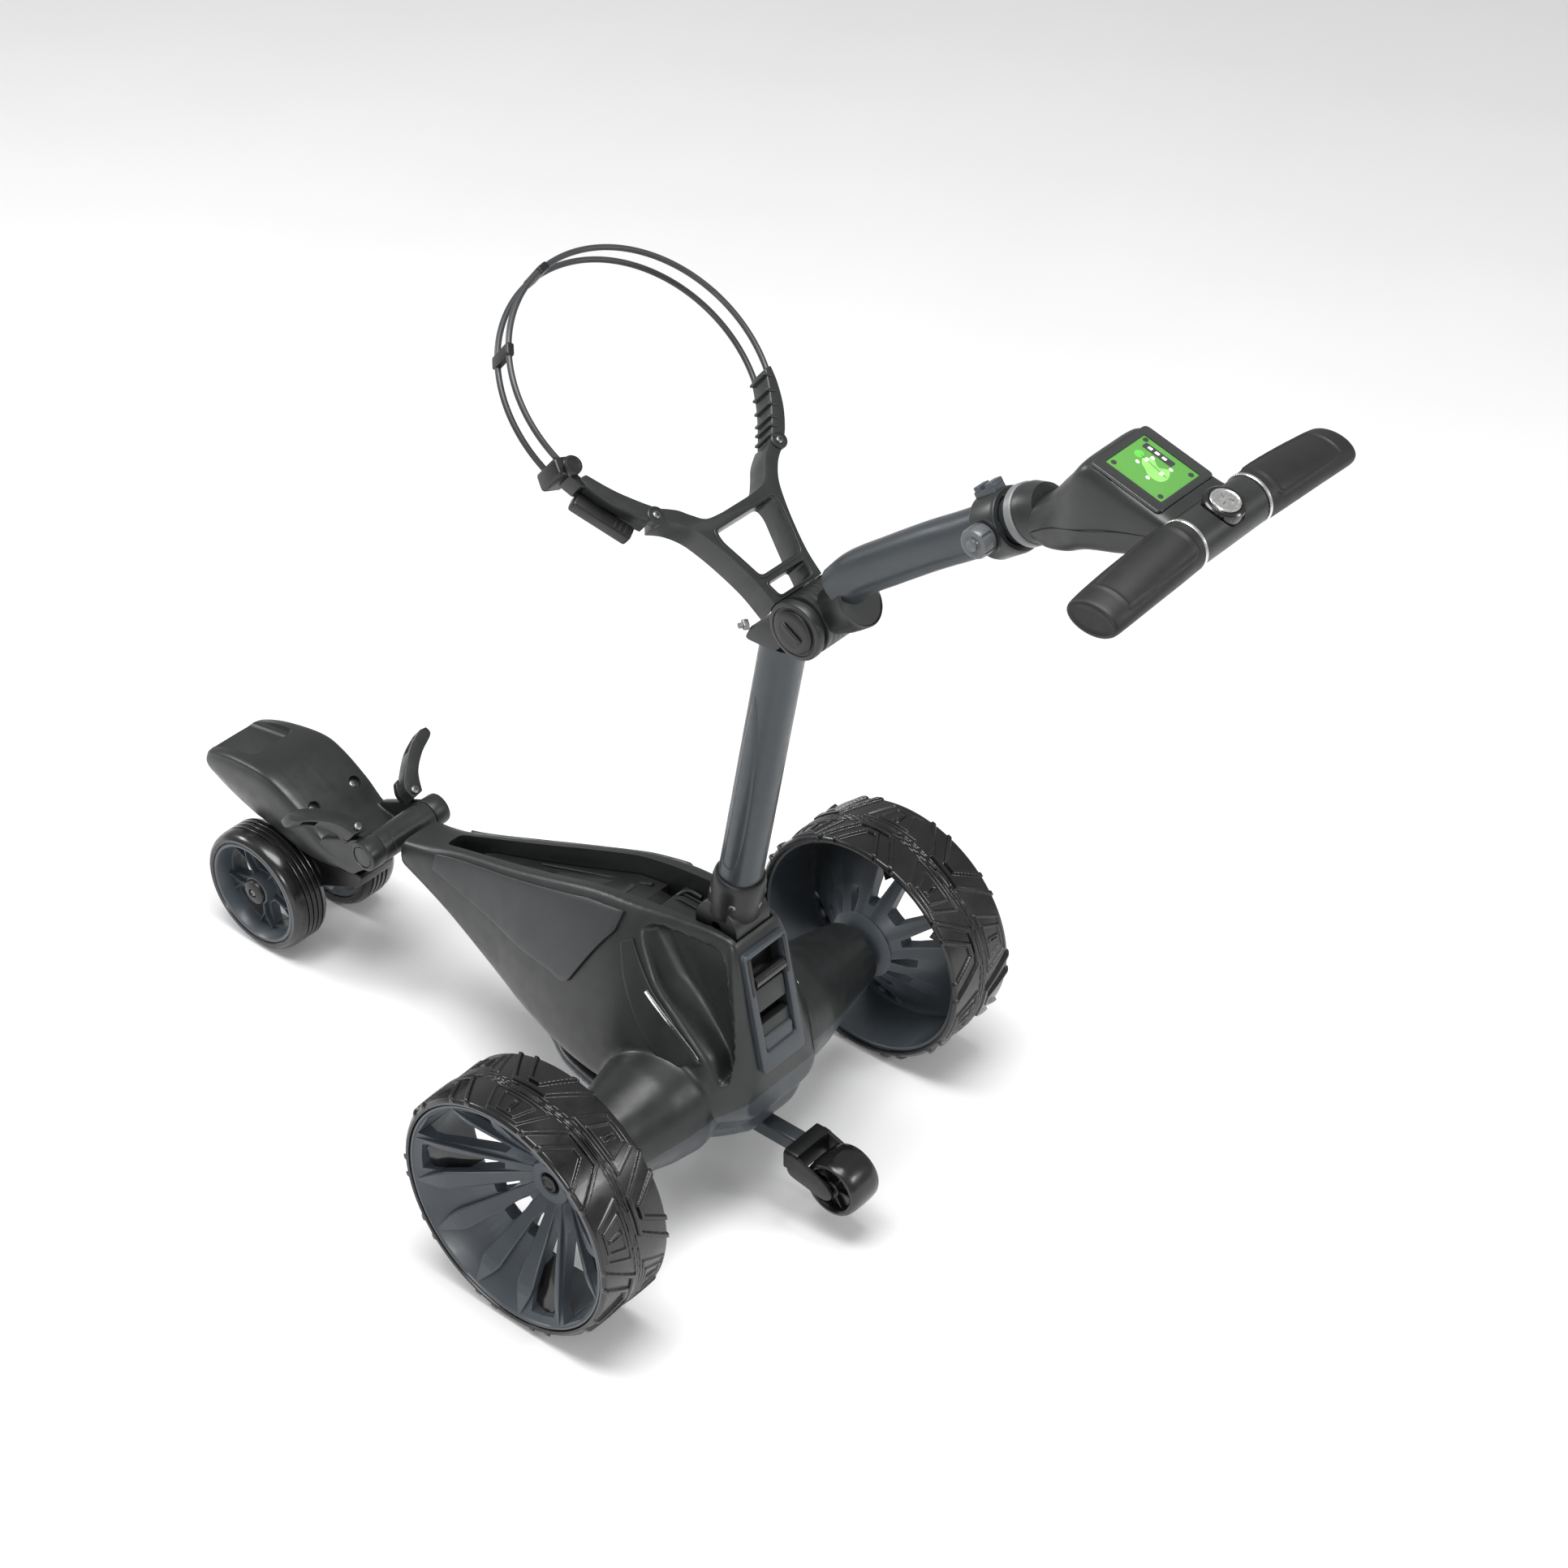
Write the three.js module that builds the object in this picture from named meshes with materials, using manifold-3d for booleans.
// Electric golf trolley, millimetres, +Z up, +X is the direction of travel, +Y is the trolley's left.
// All numbers below are measured from the rear axle; the outer group moves the origin to the
// centre of the footprint on the ground.
import * as THREE from "three";
import { mergeVertices } from "three/addons/utils/BufferGeometryUtils.js";
import Module from "manifold-3d";

const wasm = await Module();
wasm.setup();

// ---------------------------------------------------------------- driving dimensions
const FRAME_SHIFT = 74.6;            // rear axle to the middle of the overall length
const GAP = 0.4;                     // clearance between pieces that touch

const REAR_R = 131.7;                // rear wheel radius, also the axle height
const REAR_IN = 213;                 // inboard face of a rear wheel
const REAR_OUT = 300;                // outboard face of a rear wheel
const SPOKES = 10;

const FRONT_X = 591.5;               // front axle
const FRONT_R = 71;
const FRONT_IN = 28.2;
const FRONT_OUT = 73.5;
const FRONT_SPOKES = 5;

const BARREL_X = 429.6;              // hinge of the front unit
const BARREL_Z = 191.9;
const BARREL_R = 16.7;
const KNUCKLE_HALF = 36;
const BARREL_HALF = 56;

const PIVOT_X = -23;                 // pivot of the lower shaft
const PIVOT_Z = 320;
const SHAFT_LEAN = 0.187;            // how far the lower shaft leans back, per unit of its length
const SHAFT_R = 20.5;

const HINGE_X = -125;                // hinge between lower shaft and handle
const HINGE_Z = 703;
const HINGE_R = 28;
const HINGE_HALF = 33.6;
const SADDLE_HALF = 19.4;

const RING_X = 70.9;                 // centre of the upper bag strap
const RING_Z = 860.8;
const RING_R = 128.5;
const RING_TILT = THREE.MathUtils.degToRad(40);
const CORD_R = 2.8;
const CORD_STEP = 22;                // distance between the two cords

const TBAR_X = -513.5;               // cross handle
const TBAR_Z = 957.7;
const TBAR_R = 20.5;
const GRIP_START = 44.8;
const GRIP_END = 157;

const DISPLAY_TILT = THREE.MathUtils.degToRad(16);
const TAIL_X = -160;                 // anti-tip wheel
const TAIL_Z = 64;
const TAIL_R = 31.3;

// ---------------------------------------------------------------- materials
const paint = (color, roughness, metalness = 0) =>
  new THREE.MeshStandardMaterial({ color, roughness, metalness });
const charcoal = paint(0x2b2d2f, 0.55);
const slate = paint(0x44494d, 0.5);
const tubeGrey = paint(0x474c50, 0.42, 0.5);
const black = paint(0x131415, 0.5);
const tyreRubber = paint(0x101112, 0.38);
const cordRubber = paint(0x232526, 0.6);
const silver = paint(0xc4c7c9, 0.25, 1);
const steel = paint(0x8d9194, 0.35, 1);
const glass = paint(0x3f8a34, 0.15);

// ---------------------------------------------------------------- geometry helpers
const root = new THREE.Group();
root.position.x = -FRAME_SHIFT;

function place(name, geometry, material, parent = root) {
  const mesh = new THREE.Mesh(geometry, material);
  mesh.name = name;
  parent.add(mesh);
  return mesh;
}

function solid(geometry) {
  const bare = (geometry.index ? geometry.toNonIndexed() : geometry.clone());
  bare.deleteAttribute("normal");
  bare.deleteAttribute("uv");
  const merged = mergeVertices(bare, 1e-4);
  return new wasm.Manifold(new wasm.Mesh({
    numProp: 3,
    vertProperties: new Float32Array(merged.attributes.position.array),
    triVerts: new Uint32Array(merged.index.array),
  }));
}

function shapeOf(manifold) {
  const mesh = manifold.getMesh();
  const geometry = new THREE.BufferGeometry();
  geometry.setAttribute("position", new THREE.BufferAttribute(mesh.vertProperties, 3));
  geometry.setIndex(new THREE.BufferAttribute(mesh.triVerts, 1));
  return geometry;
}

const join = (first, ...rest) =>
  shapeOf(rest.reduce((sum, geometry) => sum.add(solid(geometry)), solid(first)));
const cut = (first, ...rest) =>
  shapeOf(rest.reduce((left, geometry) => left.subtract(solid(geometry)), solid(first)));

function box(x0, x1, y0, y1, z0, z1) {
  const geometry = new THREE.BoxGeometry(x1 - x0, y1 - y0, z1 - z0);
  return geometry.translate((x0 + x1) / 2, (y0 + y1) / 2, (z0 + z1) / 2);
}

// A cylinder whose axis runs along Y from y0 to y1.
function cylinderY(r, y0, y1, x, z, sides = 32) {
  const geometry = new THREE.CylinderGeometry(r, r, Math.abs(y1 - y0), sides);
  return geometry.translate(x, (y0 + y1) / 2, z);
}

// A turned piece about an axis along Y: profile points are [radius, y].
function turnedY(profile, x, z, sides = 32) {
  let points = profile.map(([r, y]) => new THREE.Vector2(r, y));
  const loop = [...points, points[0]];
  let area = 0;
  loop.slice(1).forEach((p, i) => { area += loop[i].x * p.y - p.x * loop[i].y; });
  if (area < 0) points = points.reverse();
  if (points[0].x > 0 || points.at(-1).x > 0) points.push(points[0]);
  return new THREE.LatheGeometry(points, sides).translate(x, 0, z);
}

// A flat outline in X and Z, thickened along Y from y0 to y1.
function slabY(outline, y0, y1) {
  const shape = new THREE.Shape(outline.map(([x, z]) => new THREE.Vector2(x, z)));
  const geometry = new THREE.ExtrudeGeometry(shape, { depth: y1 - y0, bevelEnabled: false });
  return geometry.rotateX(Math.PI / 2).translate(0, y1, 0);
}

// Closed skin over stations along an axis; each station is a ring of points with equal counts.
// The stations may run either way: the faces are turned outwards at the end.
function skin(rings) {
  const count = rings[0].length;
  const position = rings.flat(2);
  const index = [];
  for (let s = 0; s < rings.length - 1; s += 1) {
    for (let i = 0; i < count; i += 1) {
      const a = s * count + i;
      const b = s * count + ((i + 1) % count);
      index.push(a, b, b + count, a, b + count, a + count);
    }
  }
  for (const [ring, flip] of [[0, true], [rings.length - 1, false]]) {
    const centre = position.length / 3;
    const middle = [0, 1, 2].map((k) => rings[ring].reduce((sum, p) => sum + p[k], 0) / count);
    position.push(...middle);
    for (let i = 0; i < count; i += 1) {
      const a = ring * count + i;
      const b = ring * count + ((i + 1) % count);
      index.push(...(flip ? [centre, b, a] : [centre, a, b]));
    }
  }
  const corner = (i) => new THREE.Vector3().fromArray(position, 3 * i);
  let volume = 0;
  for (let i = 0; i < index.length; i += 3) {
    volume += corner(index[i]).dot(corner(index[i + 1]).cross(corner(index[i + 2])));
  }
  const geometry = new THREE.BufferGeometry();
  geometry.setAttribute("position", new THREE.Float32BufferAttribute(position, 3));
  geometry.setIndex(volume > 0 ? index : index.reverse());
  return geometry;
}

// Stations along X given by their left half from bottom centre to top centre.
function hull(stations) {
  return skin(stations.map(([x, half]) => {
    const left = half.map(([y, z]) => [x, y, z]);
    const right = half.slice(1, -1).reverse().map(([y, z]) => [x, -y, z]);
    return [...left, ...right];
  }));
}

// An oval station ring in the plane of constant y.
function ovalRing(y, x, z, rx, rz, sides) {
  return Array.from({ length: sides }, (_, i) => {
    const a = (2 * Math.PI * i) / sides;
    return [x + rx * Math.cos(a), y, z + rz * Math.sin(a)];
  });
}

function tube(points, section, steps, closed = false) {
  const path = new THREE.CatmullRomCurve3(points.map((p) => new THREE.Vector3(...p)), closed);
  return new THREE.ExtrudeGeometry(section, { steps, extrudePath: path, bevelEnabled: false });
}

function ovalSection(width, height, sides) {
  return new THREE.Shape(Array.from({ length: sides }, (_, i) => {
    const a = (2 * Math.PI * i) / sides;
    return new THREE.Vector2(width * Math.cos(a), height * Math.sin(a));
  }));
}

// ---------------------------------------------------------------- rear wheels
function rearTyre(side) {
  const y = (v) => side * v;
  return turnedY([
    [122, y(REAR_IN + 2)], [126.7, y(REAR_IN)], [130.4, y(REAR_IN + 7)], [REAR_R, y(REAR_IN + 20)],
    [REAR_R, y(REAR_OUT - 20)], [130.4, y(REAR_OUT - 7)], [126.7, y(REAR_OUT)], [122, y(REAR_OUT - 2)],
  ], 0, REAR_R, 40);
}

// A spoked dish: the hub sits near the inboard side and the spokes fan out to the outboard edge.
function rearRim(side) {
  const y = (v) => side * v;
  const dish = turnedY([
    [7, y(REAR_IN + 3)], [22, y(REAR_IN + 3)], [34, y(REAR_IN + 9)], [112, y(REAR_IN + 44)],
    [117, y(REAR_IN + 4)], [121.5, y(REAR_IN + 4)], [121.5, y(REAR_OUT - 3)], [117, y(REAR_OUT - 3)],
    [113, y(REAR_OUT - 12)], [36, y(REAR_IN + 25)], [24, y(REAR_IN + 21)], [10.5, y(REAR_IN + 21)],
    [10.5, y(REAR_IN + 12)], [7, y(REAR_IN + 12)],
  ], 0, REAR_R, 30);
  const pitch = (2 * Math.PI) / SPOKES;
  const windows = Array.from({ length: SPOKES }, (_, i) => {
    const middle = (i + 0.5) * pitch;
    const corner = (r, spread) =>
      [r * Math.cos(middle + spread), REAR_R + r * Math.sin(middle + spread)];
    const outline = [corner(36, -0.12), corner(106, -0.17), corner(106, 0.17), corner(36, 0.12)];
    const [y0, y1] = [y(REAR_IN - 5), y(REAR_OUT + 5)].sort((a, b) => a - b);
    return slabY(outline, y0, y1);
  });
  return cut(dish, ...windows);
}

for (const [name, side] of [["left", 1], ["right", -1]]) {
  const y = (v) => side * v;
  place(`rear_tyre_${name}`, rearTyre(side), tyreRubber);
  place(`rear_rim_${name}`, rearRim(side), slate);
  place(`wheel_release_${name}`,
    cylinderY(9.8, y(REAR_IN + 15.6), y(REAR_IN + 26), 0, REAR_R, 20), black);
  place(`rear_axle_${name}`, cylinderY(6, y(176), y(REAR_IN + 11), 0, REAR_R, 20), steel);
  place(`gearmotor_${name}`, turnedY([
    [0, y(64)], [27, y(64)], [27, y(140)], [29, y(141)], [29, y(175.6)], [0, y(175.6)],
  ], 0, REAR_R, 24), steel);
}

// ---------------------------------------------------------------- main body
// Half sections from the keel line to the crest: the body rises and widens from the front neck
// to the motors, then closes in to the tower that carries the shaft.
const BODY = [
  [404, [[0, 176], [18, 176], [26, 181], [28, 190], [28, 197], [26, 203], [22, 207], [10, 208], [0, 208]]],
  [366, [[0, 159], [18, 159], [28, 167], [31, 179], [29, 199], [25, 211], [19, 216], [12, 217], [0, 217]]],
  [320, [[0, 146], [24, 146], [37, 158], [40, 171], [35, 200], [28, 220], [21, 231], [14, 232], [0, 232]]],
  [244, [[0, 124], [35, 125], [54, 140], [59, 157], [54, 197], [42, 234], [31, 255], [23, 257], [0, 257]]],
  [190, [[0, 113], [45, 114], [70, 134], [75, 150], [68, 202], [50, 248], [36, 274], [27, 276], [0, 276]]],
  [120, [[0, 112], [55, 113], [88, 130], [92, 154], [80, 212], [58, 268], [40, 298], [31, 300], [0, 300]]],
  [60, [[0, 112], [60, 113], [96, 130], [99, 162], [84, 224], [62, 278], [42, 310], [33, 312], [0, 312]]],
  [10, [[0, 112], [60, 113], [96, 130], [97, 168], [74, 230], [50, 284], [38, 316], [30, 318], [0, 318]]],
  [-36, [[0, 112], [56, 113], [86, 130], [84, 168], [58, 230], [42, 284], [34, 316], [28, 320], [0, 320]]],
  [-56, [[0, 113], [50, 114], [74, 134], [70, 172], [50, 230], [40, 284], [34, 304], [28, 308], [0, 308]]],
  [-70, [[0, 116], [44, 117], [62, 138], [58, 178], [48, 204], [41, 222], [35, 233], [28, 236], [0, 236]]],
  [-83, [[0, 124], [36, 125], [50, 138], [48, 150], [42, 158], [37, 164], [33, 168], [28, 170], [0, 170]]],
];
const COVER_FLOOR = 112.4;           // joint line between cover and lower tray

// Cut outline of the battery bay, seen from above, left half.
const BAY = [[-20, 27.5], [40, 28], [70, 29], [84, 29], [120, 29], [190, 25], [244, 20], [300, 14.5], [352, 11]];

function bayCutter(x0, x1, margin, z0, z1) {
  const inside = BAY.filter(([x]) => x >= x0 && x <= x1);
  const left = inside.map(([x, y]) => new THREE.Vector2(x, y - margin));
  const right = inside.map(([x, y]) => new THREE.Vector2(x, margin - y)).reverse();
  const shape = new THREE.Shape([...left, ...right]);
  const geometry = new THREE.ExtrudeGeometry(shape, { depth: z1 - z0, bevelEnabled: false });
  return geometry.translate(0, 0, z0);
}

// Fairing that flares from the body to a rear wheel, with the bay for its gear motor.
const POD = [[0, 62], [58, 62], [60, 80], [56, 110], [47, 150], [41, 185], [35, 206], [0, 206]];
const POD_SEAT = 61.2;
const podSeat = (side) => cylinderY(POD_SEAT, side * 61.6, side * 120, 0, REAR_R, 28);

function topCover() {
  const shell = hull(BODY);
  const pod = (side) => turnedY(POD.map(([r, y]) => [r, side * y]), 0, REAR_R, 28);
  const bay = shapeOf(solid(bayCutter(-20, 352, 0, 150, 340))
    .intersect(solid(slabY([[-30, 292], [62, 292], [64, 225], [190, 205], [300, 188], [352, 188],
      [352, 340], [-30, 340]], -60, 60))));
  const rearScoop = (side) => {
    const [y0, y1] = [side * 52, side * 120].sort((a, b) => a - b);
    return slabY([[34, 330], [-16, 226], [-44, 206], [-110, 206], [-110, 340], [34, 340]], y0, y1);
  };
  const slot = (side) => {
    const outline = [[26, 262], [18, 262], [-46, 214], [-40, 206]];
    const [y0, y1] = [side * 52, side * 140].sort((a, b) => a - b);
    return slabY(outline.map(([x, z]) => [x, z - 30]), y0, y1);
  };
  const upper = solid(shell).subtract(solid(box(-150, 460, -150, 150, 60, COVER_FLOOR)));
  const outer = shapeOf(upper.add(solid(pod(1))).add(solid(pod(-1))));
  return cut(outer, bay,
    cylinderY(31, -177, 177, 0, REAR_R, 28), cylinderY(8, -220, 220, 0, REAR_R, 20),
    cylinderY(27.5, -26, 26, PIVOT_X, PIVOT_Z, 32),
    slabY([[-64, 292], [-42, 292], [-64, 196], [-86, 196]], -17, 17),
    box(64, 128, -26, 26, 100, 194),
    box(59, 66, -18, 18, 198, 260),
    cylinderY(BARREL_R + GAP, -60, 60, BARREL_X, BARREL_Z, 40),
    rearScoop(1), rearScoop(-1), slot(1), slot(-1));
}

place("top_cover", topCover(), charcoal);
place("controller_box", box(66, 126, -24, 24, 122, 192), black);

function batteryPack() {
  const block = bayCutter(84, 300, 1.4, 150, 340);
  return shapeOf(solid(block).intersect(solid(slabY([[84, 230], [190, 212], [300, 194], [300, 226],
    [244, 241], [190, 260], [120, 284], [84, 290]], -60, 60))));
}
place("battery_pack", batteryPack(), black);

function sidePanel(side) {
  const lift = 2;
  const clear = 3.8;
  const rows = [[326, 24, 219, 31, 200], [260, 35, 243, 48, 205], [190, 47, 253, 64, 210],
    [130, 58, 262, 77, 213], [84, 60, 272, 74, 240]];
  const rings = rows.map(([x, yTop, zTop, yLow, zLow]) => [
    [x, side * (yTop + clear), zTop], [x, side * (yTop + clear + lift), zTop + 0.6],
    [x, side * (yLow + clear + lift), zLow + 0.6], [x, side * (yLow + clear), zLow],
  ]);
  return skin(rings);
}
place("side_panel_left", sidePanel(1), slate);
place("side_panel_right", sidePanel(-1), slate);

// The keel under the motors and the band round the tail.
function lowerTray() {
  const keel = hull([
    [206, [[0, 104], [20, 104], [40, 106], [46, 111.6], [0, 111.6]]],
    [160, [[0, 82], [30, 82], [56, 96], [64, 111.6], [0, 111.6]]],
    [120, [[0, 76], [40, 76], [72, 92], [82, 111.6], [0, 111.6]]],
    [40, [[0, 76], [46, 76], [84, 92], [92, 111.6], [0, 111.6]]],
    [-40, [[0, 78], [44, 78], [72, 94], [80, 111.6], [0, 111.6]]],
    [-84, [[0, 92], [34, 92], [50, 100], [58, 111.6], [0, 111.6]]],
  ]);
  // The nose of the keel runs forward as a rail, with a long slot between it and the cover.
  const nose = tube([[190, 0, 98], [214, 0, 99], [250, 0, 104], [300, 0, 118], [352, 0, 138]],
    ovalSection(20, 4, 8), 6);
  return shapeOf(solid(keel).add(solid(nose)).subtract(solid(podSeat(1))).subtract(solid(podSeat(-1)))
    .subtract(solid(cylinderY(31, -64, 64, 0, REAR_R, 28)))
    .subtract(solid(box(-90, -38, -9.6, 9.6, 60, 90.5))));
}
place("lower_tray", lowerTray(), slate);

// ---------------------------------------------------------------- latch on the tail
// The tail leans back, so these outlines follow its slope from top to bottom.
const tailSlope = (z) => -56.6 - ((308 - z) * 13.6) / 70;
const sloped = (front, back, low, high, y0, y1) => slabY([
  [tailSlope(high) - back, high], [tailSlope(high) - front, high],
  [tailSlope(low) - front, low], [tailSlope(low) - back, low]], y0, y1);
place("latch_frame", cut(sloped(0.6, 6, 176, 306, -30, 30), sloped(-8, 14, 198, 290, -18, 18)), slate);
place("release_slider", join(sloped(-7, 3, 236, 282, -15.5, 15.5), sloped(2, 7, 246, 254, -13, 13)), black);

// ---------------------------------------------------------------- front hinge and front unit
place("front_knuckle", cut(cylinderY(BARREL_R, -KNUCKLE_HALF, KNUCKLE_HALF, BARREL_X, BARREL_Z, 40),
  cylinderY(7.6, -60, 60, BARREL_X, BARREL_Z, 24)), charcoal);
place("front_hinge_pin", cylinderY(7, -50, 50, BARREL_X, BARREL_Z, 24), steel);

function frontHousing() {
  const hood = hull([
    [452, [[0, 150], [30, 150], [44, 156], [46, 160], [38, 163], [0, 164]]],
    [497, [[0, 128], [27, 128], [42, 140], [47, 152], [44, 166], [0, 172]]],
    [528, [[0, 122], [27, 122], [43, 142], [49, 168], [44, 186], [0, 196]]],
    [561, [[0, 122], [28, 124], [44, 148], [50, 184], [44, 207], [0, 213]]],
    [590, [[0, 130], [30, 134], [44, 160], [49, 190], [43, 213], [0, 221]]],
    [640, [[0, 146], [30, 148], [40, 166], [44, 188], [37, 211], [0, 218]]],
    [676, [[0, 158], [28, 160], [35, 170], [38, 182], [32, 193], [0, 198]]],
    [687, [[0, 168], [24, 169], [29, 172], [30, 176], [26, 181], [0, 183]]],
  ]);
  const lug = (side) => {
    const [y0, y1] = [side * 37, side * 46].sort((a, b) => a - b);
    return slabY([[434, 176], [458, 150], [500, 150], [500, 172], [454, 194], [436, 204]], y0, y1);
  };
  const cap = (side) => cylinderY(BARREL_R, side * (KNUCKLE_HALF + GAP), side * BARREL_HALF,
    BARREL_X, BARREL_Z, 40);
  const body = shapeOf(solid(hood).add(solid(lug(1))).add(solid(lug(-1))));
  const wheelArch = (side) => {
    const [y0, y1] = [side * (FRONT_IN - 3), side * 90].sort((a, b) => a - b);
    return cylinderY(FRONT_R + 5, y0, y1, FRONT_X, FRONT_R, 40);
  };
  const hole = (side) => new THREE.CylinderGeometry(7, 7, 40, 20).rotateX(Math.PI / 2)
    .rotateY(THREE.MathUtils.degToRad(-38)).translate(527, side * 31, 204);
  const scoop = new THREE.BoxGeometry(34, 44, 20).rotateY(THREE.MathUtils.degToRad(24))
    .translate(662, 0, 214);
  return shapeOf(solid(body)
    .subtract(solid(cylinderY(BARREL_R + 1, -KNUCKLE_HALF - GAP, KNUCKLE_HALF + GAP,
      BARREL_X, BARREL_Z, 40)))
    .add(solid(cap(1))).add(solid(cap(-1)))
    .subtract(solid(cylinderY(7.6, -51, 51, BARREL_X, BARREL_Z, 24)))
    .subtract(solid(wheelArch(1))).subtract(solid(wheelArch(-1)))
    .subtract(solid(hole(1))).subtract(solid(hole(-1))).subtract(solid(scoop)));
}
const housing = frontHousing();
place("front_housing", housing, charcoal);

const bracketOutline = [[470, 127], [476, 108], [520, 88], [580, 60], [600, 61], [604, 74],
  [598, 88], [560, 112], [552, 121.4], [500, 121.4], [486, 127]];
place("front_bracket", cut(slabY(bracketOutline, -24, 24),
  cylinderY(6, -30, 30, FRONT_X, FRONT_R, 20), housing), black);
place("front_axle", cylinderY(5, -69, 69, FRONT_X, FRONT_R, 20), steel);

for (const [name, side] of [["left", 1], ["right", -1]]) {
  const y = (v) => side * v;
  place(`front_tyre_${name}`, turnedY([
    [60, y(FRONT_IN + 1)], [66.9, y(FRONT_IN)], [70.2, y(FRONT_IN + 8)], [FRONT_R, y(FRONT_IN + 22)],
    [70.2, y(FRONT_OUT - 8)], [66.9, y(FRONT_OUT)], [60, y(FRONT_OUT - 1)],
  ], FRONT_X, FRONT_R, 40), tyreRubber);
  const wheelDisc = turnedY([
    [6, y(FRONT_IN + 4)], [15, y(FRONT_IN + 4)], [18, y(FRONT_IN + 14)], [50, y(FRONT_IN + 14)],
    [55, y(FRONT_IN + 3)], [59.6, y(FRONT_IN + 3)], [59.6, y(FRONT_OUT - 2)], [55, y(FRONT_OUT - 2)],
    [51, y(FRONT_IN + 24)], [18, y(FRONT_IN + 24)], [15, y(FRONT_OUT - 6)], [9, y(FRONT_OUT - 1)],
    [0, y(FRONT_OUT - 0.5)], [0, y(FRONT_OUT - 4)], [6, y(FRONT_OUT - 4)],
  ], FRONT_X, FRONT_R, 25);
  const windows = Array.from({ length: FRONT_SPOKES }, (_, i) => {
    const middle = (2 * Math.PI * (i + 0.25)) / FRONT_SPOKES;
    const corner = (r, spread) => [FRONT_X + r * Math.cos(middle + spread),
      FRONT_R + r * Math.sin(middle + spread)];
    const [y0, y1] = [y(FRONT_IN), y(FRONT_OUT)].sort((a, b) => a - b);
    return slabY([corner(22, -0.4), corner(47, -0.42), corner(48, 0), corner(47, 0.42),
      corner(22, 0.4)], y0, y1);
  });
  place(`front_rim_${name}`, cut(wheelDisc, ...windows), slate);
}

// Lower bag rests: a bracket on the housing and a curved pad turning on it about the bag's axis.
const bagFrame = (side, x, y, z) => {
  const group = new THREE.Group();
  group.position.set(x, side * y, z);
  group.rotation.y = -RING_TILT;
  root.add(group);
  return group;
};
for (const [name, side] of [["left", 1], ["right", -1]]) {
  const flat = (outline, z0, z1) => {
    const points = outline.map(([x, y]) => new THREE.Vector2(x, side * y));
    return new THREE.ExtrudeGeometry(new THREE.Shape(points), { depth: z1 - z0, bevelEnabled: false })
      .translate(0, 0, z0);
  };
  const frame = bagFrame(side, 453.9, 40.9, 207.5);
  const foot = flat([[-3, -3], [8, -5], [20, 0], [20, 9], [-3, 9]], -21, -13.4);
  const post = new THREE.CylinderGeometry(4, 4, 26, 16).rotateX(Math.PI / 2).translate(0, 0, -3);
  place(`rest_bracket_${name}`, join(foot, post), black, frame);
  const pad = flat([[-7, -7], [8, -7], [24, 8], [40, 28], [50, 50], [48, 58], [40, 57], [29, 36],
    [14, 18], [-5, 8]], -13, 6);
  const window = flat([[24, 24], [44, 24], [56, 46], [30, 46]], -9, 1);
  const bore = new THREE.CylinderGeometry(4.5, 4.5, 60, 16).rotateX(Math.PI / 2);
  place(`bag_rest_${name}`, cut(pad, bore, window), charcoal, frame);
}

// ---------------------------------------------------------------- lower shaft
const shaftX = (z) => PIVOT_X - (z - PIVOT_Z) * SHAFT_LEAN;
const shaftSection = ovalSection(SHAFT_R, SHAFT_R, 20);
place("lower_shaft", tube([[shaftX(330), 0, 330], [shaftX(440), 0, 440], [shaftX(560), 0, 560],
  [shaftX(664), 0, 664]], shaftSection, 4), tubeGrey);

function baseCollar() {
  const sleeve = new THREE.CylinderGeometry(26, 26, 58, 32).rotateX(Math.PI / 2)
    .translate(0, 0, 29).rotateY(-Math.atan(SHAFT_LEAN)).translate(PIVOT_X, 0, PIVOT_Z);
  const socket = new THREE.CylinderGeometry(SHAFT_R + 0.5, SHAFT_R + 0.5, 80, 20)
    .rotateX(Math.PI / 2).translate(0, 0, 48.6).rotateY(-Math.atan(SHAFT_LEAN))
    .translate(PIVOT_X, 0, PIVOT_Z);
  const foot = cylinderY(26.5, -24, 24, PIVOT_X, PIVOT_Z, 32);
  return shapeOf(solid(foot).add(solid(sleeve)).subtract(solid(socket))
    .subtract(solid(cylinderY(5.6, -40, 40, PIVOT_X, PIVOT_Z, 20))));
}
place("base_collar", baseCollar(), black);

function hingeFork() {
  const disc = (side) => cylinderY(HINGE_R, side * (SADDLE_HALF + GAP + 0.4), side * HINGE_HALF,
    HINGE_X, HINGE_Z, 40);
  const block = slabY([[-66, 669], [-104, 669], [-118, 684], [-110, 712], [-92, 708], [-70, 688]],
    -30, 30);
  return shapeOf(solid(block).subtract(solid(cylinderY(HINGE_R + 0.8, -SADDLE_HALF - 0.8,
    SADDLE_HALF + 0.8, HINGE_X, HINGE_Z, 40))).add(solid(disc(1))).add(solid(disc(-1)))
    .subtract(solid(cylinderY(8.6, -40, 40, HINGE_X, HINGE_Z, 24))));
}
const fork = hingeFork();
place("hinge_fork", fork, charcoal);
place("hinge_pin", turnedY([
  [0, -HINGE_HALF - 2.4], [21, -HINGE_HALF - 2.4], [21, -HINGE_HALF - GAP], [8, -HINGE_HALF - GAP],
  [8, HINGE_HALF + GAP], [21, HINGE_HALF + GAP], [21, HINGE_HALF + 2.4], [0, HINGE_HALF + 2.4],
], HINGE_X, HINGE_Z, 32), black);

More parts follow.
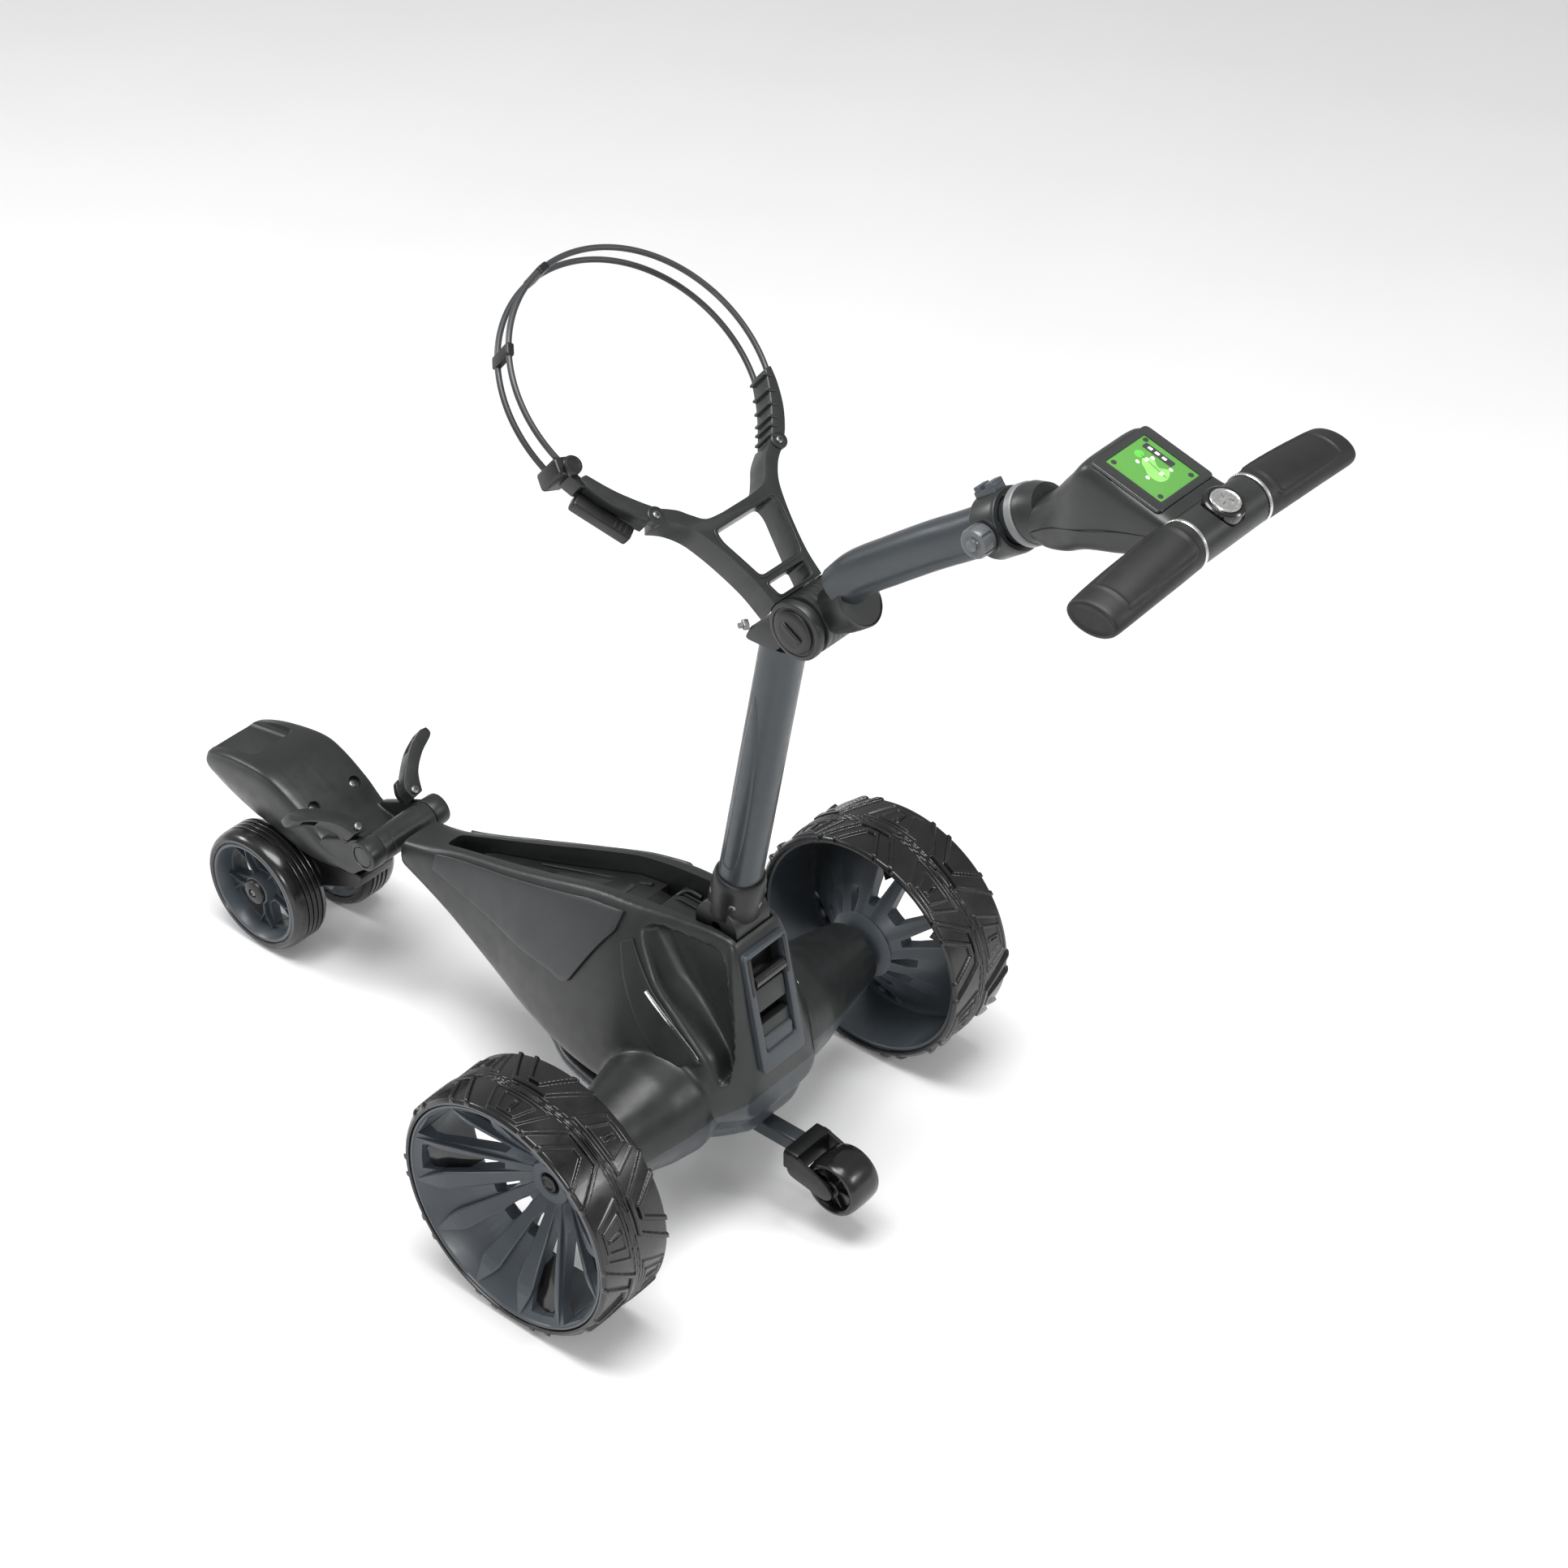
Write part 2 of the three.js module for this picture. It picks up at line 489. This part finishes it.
// The bag frame and the strap lie in one tilted plane: y sideways, s up the plane, depth below it.
const strapPlane = new THREE.Group();
strapPlane.position.set(RING_X, 0, RING_Z);
strapPlane.quaternion.setFromRotationMatrix(new THREE.Matrix4().makeBasis(
  new THREE.Vector3(0, 1, 0),
  new THREE.Vector3(Math.cos(RING_TILT), 0, Math.sin(RING_TILT)),
  new THREE.Vector3(Math.sin(RING_TILT), 0, -Math.cos(RING_TILT))));
root.add(strapPlane);

const inPlane = (outline, z0, z1) => new THREE.ExtrudeGeometry(
  new THREE.Shape(outline.map(([y, s]) => new THREE.Vector2(y, s))),
  { depth: z1 - z0, bevelEnabled: false }).translate(0, 0, z0);
const mirrored = (half) => [...half, ...half.map(([y, s]) => [-y, s]).reverse()];

function bagFrameShape() {
  const outline = mirrored([[20, -132.6], [37, -130], [48, -121], [57, -111], [72, -101.5], [80, -111],
    [66, -120], [54, -134], [46, -152], [39, -174], [33, -200], [31, -228]]);
  const window = mirrored([[36, -143], [36, -154], [30, -176], [24.5, -196]]);
  const slot = mirrored([[23.5, -204], [20.5, -219]]);
  const plate = cut(inPlane(outline, -4, 24), inPlane(window, -30, 60), inPlane(slot, -30, 60));
  strapPlane.updateMatrix();
  const inverse = strapPlane.matrix.clone().invert();
  const clear = (geometry) => geometry.applyMatrix4(inverse);
  return cut(plate,
    clear(cylinderY(HINGE_R + GAP + 0.6, -60, 60, HINGE_X, HINGE_Z, 40)),
    clear(slabY([[-60, 650], [-125, 650], [-122, 716], [-90, 712], [-68, 690]], -31, 31)));
}
place("bag_frame", bagFrameShape(), charcoal, strapPlane);

const ARM = [[73, -101], [85.5, -87.5], [101, -68], [115, -45], [123, -45], [118, -61], [108, -81],
  [94, -99], [81.4, -110]];
for (const [name, side] of [["left", 1], ["right", -1]]) {
  const outline = ARM.map(([y, s]) => [side * y, s]);
  const depth = side > 0 ? 7 : 21;
  const bore = new THREE.CylinderGeometry(4.4, 4.4, 80, 16).rotateX(Math.PI / 2)
    .translate(side * 84, -98, 0);
  place(`bag_arm_${name}`, cut(inPlane(outline, -5, depth), bore), charcoal, strapPlane);
}

const turned = (geometry, angle, y, s, z) => geometry.rotateZ(angle).translate(y, s, z);
place("strap_buckle", turned(new THREE.BoxGeometry(20, 17, 34), 0.35, 127.5, -30, 11), black, strapPlane);
place("strap_lever", turned(new THREE.BoxGeometry(14, 58, 13), -0.48, 115, -81, 14.4), black, strapPlane);

// Two elastic cords run from the right arm round the bag to the buckle.
const CORD_START = THREE.MathUtils.degToRad(-6.5);
const CORD_END = THREE.MathUtils.degToRad(199);
const cordPoint = (angle, z) => [RING_R * Math.cos(angle), RING_R * Math.sin(angle), z];
function cord(z) {
  const points = Array.from({ length: 13 }, (_, i) =>
    cordPoint(CORD_START + ((CORD_END - CORD_START) * i) / 12, z));
  return tube(points, ovalSection(CORD_R, CORD_R, 8), 26);
}
const clips = [81, 38].map((degrees) => {
  const angle = THREE.MathUtils.degToRad(degrees);
  return turned(new THREE.BoxGeometry(7, 12, CORD_STEP + 8), angle, RING_R * Math.cos(angle),
    RING_R * Math.sin(angle), CORD_STEP / 2);
});
place("bag_strap", join(cord(0), cord(CORD_STEP), ...clips), cordRubber, strapPlane);

// ---------------------------------------------------------------- handle
const TUBE_PATH = [[-151, 0, 744], [-169.9, 0, 766], [-204, 0, 793], [-246, 0, 825], [-278.6, 0, 848],
  [-308, 0, 869.5], [-336, 0, 890]];
place("upper_tube", tube(TUBE_PATH, ovalSection(19, 21, 20), 8), tubeGrey);

function hingeSaddle() {
  const drum = cylinderY(HINGE_R - 0.4, -SADDLE_HALF, SADDLE_HALF, HINGE_X, HINGE_Z, 40);
  const socket = new THREE.CylinderGeometry(24, 19, 46, 28).rotateX(Math.PI / 2)
    .translate(0, 0, 35).rotateY(THREE.MathUtils.degToRad(-38)).translate(HINGE_X - 2, 0, HINGE_Z);
  const seat = tube(TUBE_PATH, ovalSection(19.4, 21.4, 20), 8);
  return shapeOf(solid(drum).add(solid(socket)).subtract(solid(seat))
    .subtract(solid(cylinderY(28.8, SADDLE_HALF, 60, HINGE_X, HINGE_Z, 40)))
    .subtract(solid(cylinderY(28.8, -SADDLE_HALF, -60, HINGE_X, HINGE_Z, 40)))
    .subtract(solid(cylinderY(8.6, -60, 60, HINGE_X, HINGE_Z, 24))));
}
place("hinge_saddle", hingeSaddle(), charcoal);

// Pieces threaded on the handle are placed by their distance along its axis.
const AXIS_TILT = THREE.MathUtils.degToRad(36);
function onHandle(geometry, x, z) {
  return geometry.rotateX(Math.PI / 2).rotateY(AXIS_TILT - Math.PI / 2).translate(x, 0, z);
}
place("accessory_collar", shapeOf(
  solid(onHandle(new THREE.CylinderGeometry(28, 28, 30, 28), -318, 877))
    .add(solid(onHandle(new THREE.BoxGeometry(14, 24, 26).translate(29, 0, 0), -318, 877)))
    .subtract(solid(onHandle(new THREE.CylinderGeometry(22.6, 22.6, 60, 24), -318, 877)))), charcoal);
place("neck_ring", onHandle(new THREE.CylinderGeometry(26.5, 26.5, 8, 28), -341.5, 894.4), slate);
place("accessory_knob", cylinderY(13.5, 28.6, 46, -318, 877, 24), slate);

const SEAM = [[-357, 896], [-385, 915], [-421, 931], [-489, 953]];
const seamZ = (x) => {
  const i = SEAM.findIndex(([sx]) => x >= sx);
  const [[x1, z1], [x0, z0]] = [SEAM[Math.max(i, 1)], SEAM[Math.max(i, 1) - 1]];
  return z0 + ((z1 - z0) * (x - x0)) / (x1 - x0);
};
// Stations of the display head: x, half width, lowest and highest point.
const HEAD = [[-357, 24, 882, 920], [-372, 27, 882, 935], [-396, 36, 893, 966], [-418, 41, 906, 991.6],
  [-452, 41, 917, 981.8], [-488.6, 40.5, 932, 971.2]];
function headHalf(upper) {
  const stations = HEAD.map(([x, w, low, high]) => {
    const seam = Math.min(Math.max(seamZ(x), low + 8), high - 8);
    return upper
      ? [x, [[0, seam + 0.2], [w, seam + 0.2], [w, high - 2.5], [w - 2.5, high], [0, high]]]
      : [x, [[0, low], [w - 8, low], [w, low + 7], [w, seam - 0.2], [0, seam - 0.2]]];
  });
  const clearBar = cylinderY(TBAR_R + GAP, -60, 60, TBAR_X, TBAR_Z, 36);
  return shapeOf(solid(hull(stations)).subtract(solid(clearBar)));
}
const upperHead = headHalf(true);
const screenPlate = (width, length, thick, lift) => new THREE.BoxGeometry(length, width, thick)
  .rotateY(-DISPLAY_TILT).translate(-452.8 - lift * Math.sin(DISPLAY_TILT), 0,
    981.4 + lift * Math.cos(DISPLAY_TILT));
place("head_upper", cut(upperHead, screenPlate(76, 68, 6, 0)), charcoal);
place("head_lower", headHalf(false), charcoal);
place("display_bezel", cut(screenPlate(75.2, 67.2, 3, -1.2), screenPlate(60, 50, 3, 0.6)), black);
place("display_screen", screenPlate(59.2, 49.2, 1.2, 0), glass);

for (const [name, side] of [["left", 1], ["right", -1]]) {
  const y = (v) => side * v;
  place(`grip_ring_${name}`, cylinderY(21.8, y(41), y(44.4), TBAR_X, TBAR_Z, 32), silver);
  const rings = [[GRIP_START, 21.3, 21.3, 0], [70, 23.5, 19.5, -0.4], [110, 24.3, 17.2, -2.4],
    [140, 24.2, 15.6, -4.8], [GRIP_END, 23.4, 14.6, -6.4], [GRIP_END + 2.6, 20.4, 12, -6.4],
  ].map(([v, rx, rz, dz]) => ovalRing(y(v), TBAR_X, TBAR_Z + dz, rx, rz, 24));
  place(`grip_${name}`, skin(rings), black);
}

const dialGroup = new THREE.Group();
dialGroup.position.set(TBAR_X, 0, TBAR_Z);
dialGroup.rotation.y = -DISPLAY_TILT;
root.add(dialGroup);
// A turned piece standing on the cross handle, from one height above its axis to another.
const upright = (low, high, z0, z1, sides) => new THREE.CylinderGeometry(high, low, z1 - z0, sides)
  .rotateX(Math.PI / 2).translate(0, 0, (z0 + z1) / 2);
place("tbar_core", cut(cylinderY(TBAR_R, -40.6, 40.6, 0, 0, 36), upright(18, 18, 12, 40, 28)),
  charcoal, dialGroup);
place("dial", cut(upright(17.4, 16.2, 12.4, 23, 24), upright(13.4, 13.4, 19, 30, 24)),
  black, dialGroup);
place("dial_button", upright(12.8, 12.4, 20.6, 24.4, 24), silver, dialGroup);

// ---------------------------------------------------------------- anti-tip wheel
place("tail_bar", box(-107, -40, -9, 9, 71, 89), tubeGrey);
function tailFork() {
  const cheek = (side) => {
    const [y0, y1] = [side * 22.4, side * 26.4].sort((a, b) => a - b);
    return slabY([[-122, 88], [-122, 62], [-160, 55], [-169, 64], [-160, 74]], y0, y1);
  };
  const bridge = cut(join(box(-124, -107.6, -26.4, 26.4, 66, 90), cheek(1), cheek(-1)),
    cylinderY(TAIL_R + 3, -22.4, 22.4, TAIL_X, TAIL_Z, 32));
  return join(bridge, cylinderY(4, -26.4, 26.4, TAIL_X, TAIL_Z, 16));
}
place("tail_fork", tailFork(), black);
place("tail_wheel", turnedY([
  [4.6, -19], [12, -20.4], [25, -18], [29.5, -12], [TAIL_R, 0], [29.5, 12], [25, 18], [12, 20.4], [4.6, 19],
], TAIL_X, TAIL_Z, 32), tyreRubber);

export default root;
